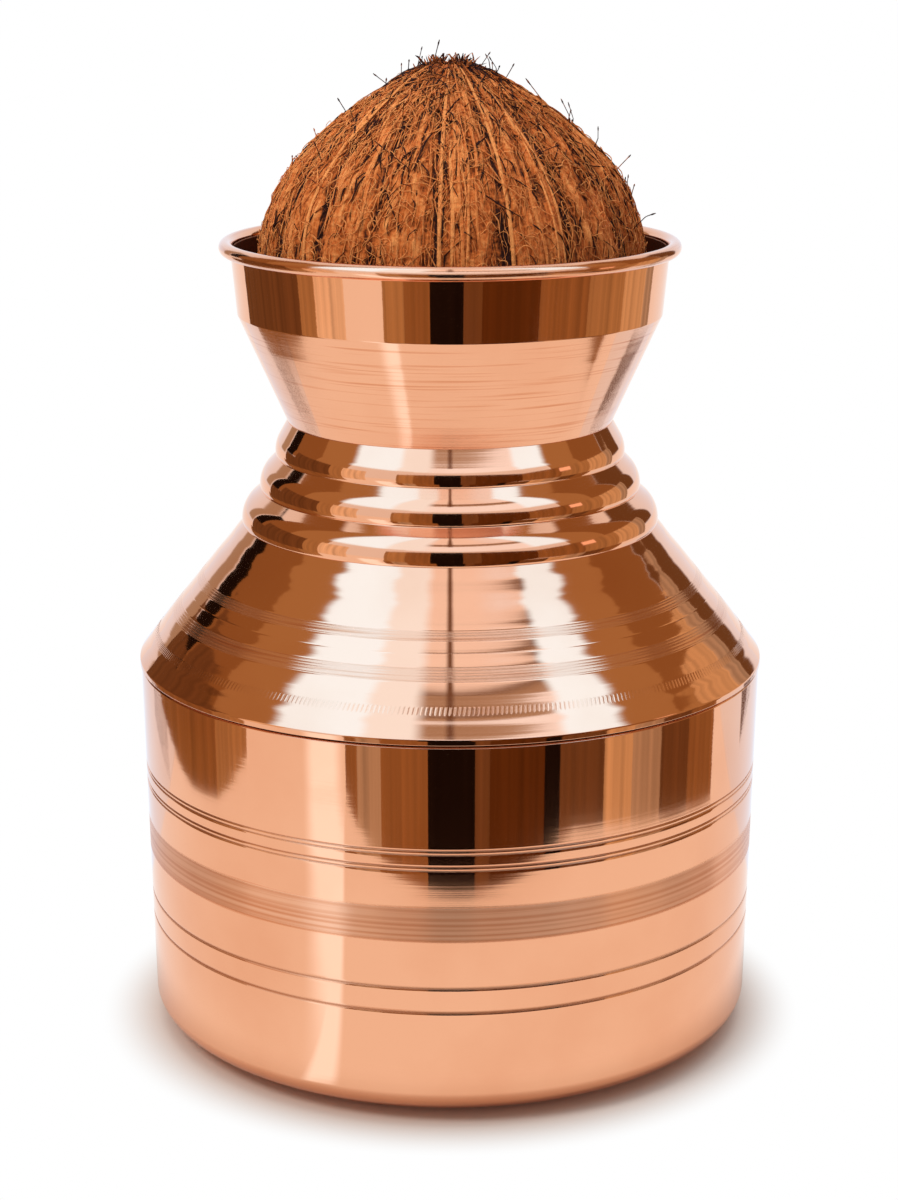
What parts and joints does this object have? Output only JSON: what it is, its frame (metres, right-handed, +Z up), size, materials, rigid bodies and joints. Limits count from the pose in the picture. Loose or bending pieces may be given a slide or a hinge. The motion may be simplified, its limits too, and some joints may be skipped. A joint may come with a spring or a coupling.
{
  "type": "water pot",
  "caption": "Spun copper water pot with a straight round belly, sloping shoulder, stepped rib neck and flaring rolled mouth, holding a husked coconut that lifts out.",
  "frame": {"origin": "centre of the flat ring that the pot stands on", "axes": "+Z up along the pot's axis, through the coconut's tip; the front faces -Y"},
  "size_m": [0.1828, 0.1828, 0.2817],
  "materials": {
    "polished_copper": "polished copper sheet",
    "spun_copper": "copper sheet with fine spinning marks round it",
    "seam_solder": "dull grey solder",
    "rim_wire": "drawn steel wire",
    "coconut_husk": "dry fibrous husk"
  },
  "bodies": {
    "pot": {"vessel_body": "polished_copper", "shoulder": "polished_copper", "shoulder_seam_solder": "seam_solder", "ribbed_neck": "polished_copper", "neck_seam_solder": "seam_solder", "mouth_funnel": "spun_copper", "mouth_seam_solder": "seam_solder", "rim_wire": "rim_wire"},
    "coconut": {"coconut": "coconut_husk"}
  },
  "joints": [
    {"name": "coconut_lift", "type": "slide", "parent": "pot", "child": "coconut", "axis": [0, 0, 1], "range_m": [0, 0.12]}
  ]
}
